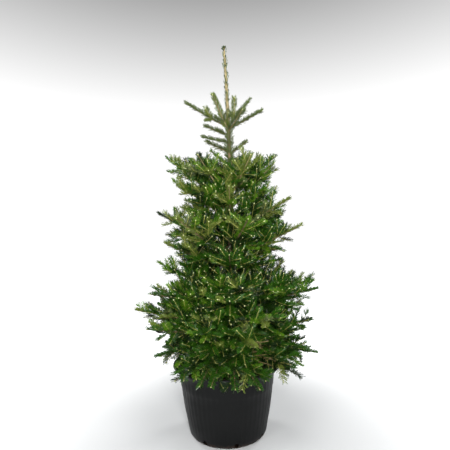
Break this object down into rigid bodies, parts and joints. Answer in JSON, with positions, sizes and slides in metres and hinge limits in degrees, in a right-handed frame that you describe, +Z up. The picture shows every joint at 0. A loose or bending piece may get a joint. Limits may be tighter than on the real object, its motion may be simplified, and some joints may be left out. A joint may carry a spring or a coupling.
{
  "type": "potted fir christmas tree",
  "caption": "Slender young fir with tiers of rising needled boughs and a long bare leading shoot, growing in a round black nursery pot with a flared lip.",
  "frame": {"origin": "centre of the pot's flat underside", "axes": "+Z up along the trunk, -Y towards the front, +X to the right seen from the front"},
  "size_m": [0.9483, 0.8379, 2.0452],
  "materials": {
    "pot": "black moulded plastic with a soft sheen",
    "potting_soil": "dark crumbly potting soil",
    "bark": "smooth olive brown bark",
    "needles": "glossy dark green needles"
  },
  "bodies": {
    "root": {"pot": "pot", "potting_soil": "potting_soil", "trunk": "bark", "bough_broad_1": "bark", "bough_broad_2": "bark", "bough_broad_3": "bark", "bough_broad_4": "bark", "bough_broad_5": "bark", "bough_broad_6": "bark", "foliage_top_1": "needles", "foliage_top_2": "needles", "foliage_top_3": "needles", "foliage_top_4": "needles", "foliage_top_5": "needles", "foliage_leader_spur_1": "needles", "foliage_leader_spur_2": "needles", "foliage_leader_spur_3": "needles", "foliage_leader_spur_4": "needles", "foliage_upper_1": "needles", "foliage_upper_2": "needles", "foliage_upper_3": "needles", "foliage_upper_4": "needles", "foliage_upper_5": "needles", "foliage_upper_6": "needles", "foliage_upper_spur_1": "needles", "foliage_upper_spur_2": "needles", "foliage_upper_spur_3": "needles", "foliage_upper_spur_4": "needles", "foliage_upper_spur_5": "needles", "foliage_middle_1": "needles", "foliage_middle_2": "needles", "foliage_middle_3": "needles", "foliage_middle_4": "needles", "foliage_middle_5": "needles", "foliage_middle_6": "needles", "foliage_middle_spur_1": "needles", "foliage_middle_spur_2": "needles", "foliage_middle_spur_3": "needles", "foliage_middle_spur_4": "needles", "foliage_middle_spur_5": "needles", "foliage_lower_1": "needles", "foliage_lower_2": "needles", "foliage_lower_3": "needles", "foliage_lower_4": "needles", "foliage_lower_5": "needles", "foliage_lower_6": "needles", "foliage_broad_1": "needles", "foliage_broad_2": "needles", "foliage_broad_3": "needles", "foliage_broad_4": "needles", "foliage_broad_5": "needles", "foliage_broad_6": "needles", "foliage_skirt_1": "needles", "foliage_skirt_2": "needles", "foliage_skirt_3": "needles", "foliage_skirt_4": "needles", "foliage_skirt_5": "needles", "foliage_skirt_6": "needles", "foliage_skirt_7": "needles", "foliage_skirt_8": "needles"}
  },
  "joints": []
}
